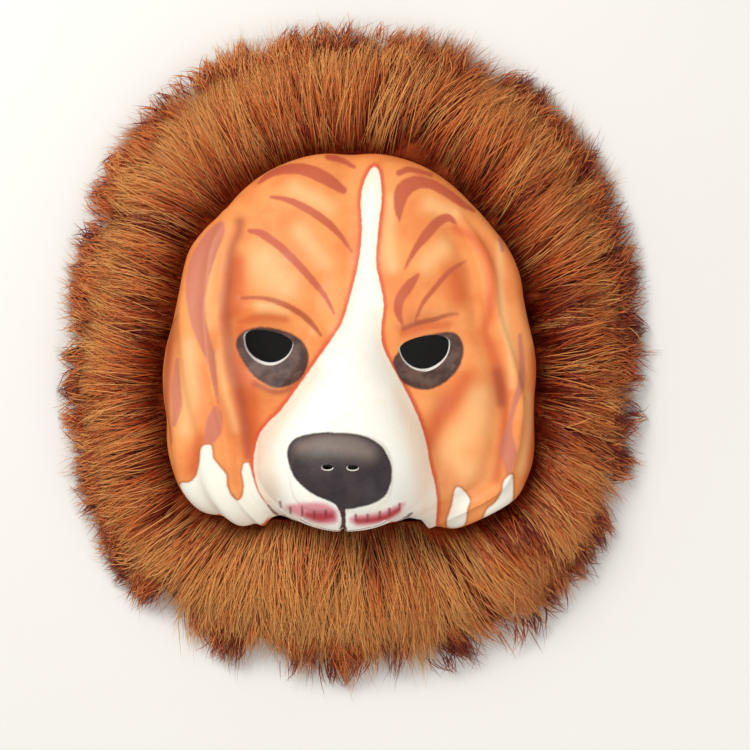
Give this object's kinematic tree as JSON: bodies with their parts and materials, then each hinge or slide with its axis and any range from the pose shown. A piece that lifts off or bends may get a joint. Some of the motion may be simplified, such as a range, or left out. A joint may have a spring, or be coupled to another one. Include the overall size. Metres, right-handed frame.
{
  "type": "furry dog mask",
  "caption": "Moulded foam dog face mask with ears in relief and cut eye holes, sewn into a wide ring of long-pile fur.",
  "frame": {"origin": "middle of the fur ring, on the surface that the mask lies on", "axes": "+X towards the viewer's right, +Y up the face to the forehead, +Z out of the face"},
  "size_m": [0.3, 0.344, 0.0918],
  "materials": {
    "face_shell": "airbrushed foam, satin",
    "fur_mane": "long-pile fake fur",
    "head_strap": "woven elastic"
  },
  "bodies": {
    "root": {"face_shell": "face_shell", "fur_mane": "fur_mane", "head_strap": "head_strap"}
  },
  "joints": []
}
